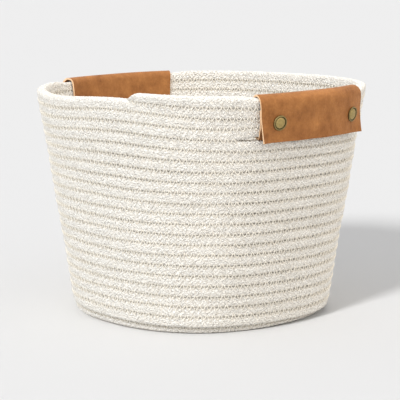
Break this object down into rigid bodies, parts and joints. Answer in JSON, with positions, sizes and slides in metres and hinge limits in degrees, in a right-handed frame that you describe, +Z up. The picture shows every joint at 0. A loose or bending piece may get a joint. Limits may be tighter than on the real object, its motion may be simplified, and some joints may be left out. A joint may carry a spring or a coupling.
{
  "type": "rope storage bin",
  "caption": "Tapered coiled-rope storage bin with a rounded-square mouth and riveted leather-wrapped rope grips over hand slots.",
  "frame": {"origin": "on the floor, under the middle of the base", "axes": "+Z up, +X through the middle of the right grip's side and -X through the left grip's, +Y to the back"},
  "size_m": [0.3192, 0.2787, 0.2248],
  "materials": {
    "cotton_rope": "matte braided cotton",
    "sewing_thread": "matte cotton thread",
    "tan_leather": "smooth, satin",
    "aged_brass": "antiqued, satin"
  },
  "bodies": {
    "basket": {"rope_base": "cotton_rope", "rope_wall": "cotton_rope", "rim_front": "cotton_rope", "rim_back": "cotton_rope", "seam_thread": "sewing_thread"},
    "grip_right": {"grip_rope_right": "cotton_rope", "leather_wrap_right": "tan_leather", "cap_front_right": "aged_brass", "cap_back_right": "aged_brass", "stud_front_right": "aged_brass", "stud_back_right": "aged_brass"},
    "grip_left": {"grip_rope_left": "cotton_rope", "leather_wrap_left": "tan_leather", "cap_front_left": "aged_brass", "cap_back_left": "aged_brass", "stud_front_left": "aged_brass", "stud_back_left": "aged_brass"}
  },
  "joints": [
    {"name": "grip_right_lift", "type": "slide", "parent": "basket", "child": "grip_right", "axis": [0, 0, 1], "range_m": [0, 0.01], "stiffness_N_per_m": 800},
    {"name": "grip_left_lift", "type": "slide", "parent": "basket", "child": "grip_left", "axis": [0, 0, 1], "range_m": [0, 0.01], "stiffness_N_per_m": 800}
  ]
}
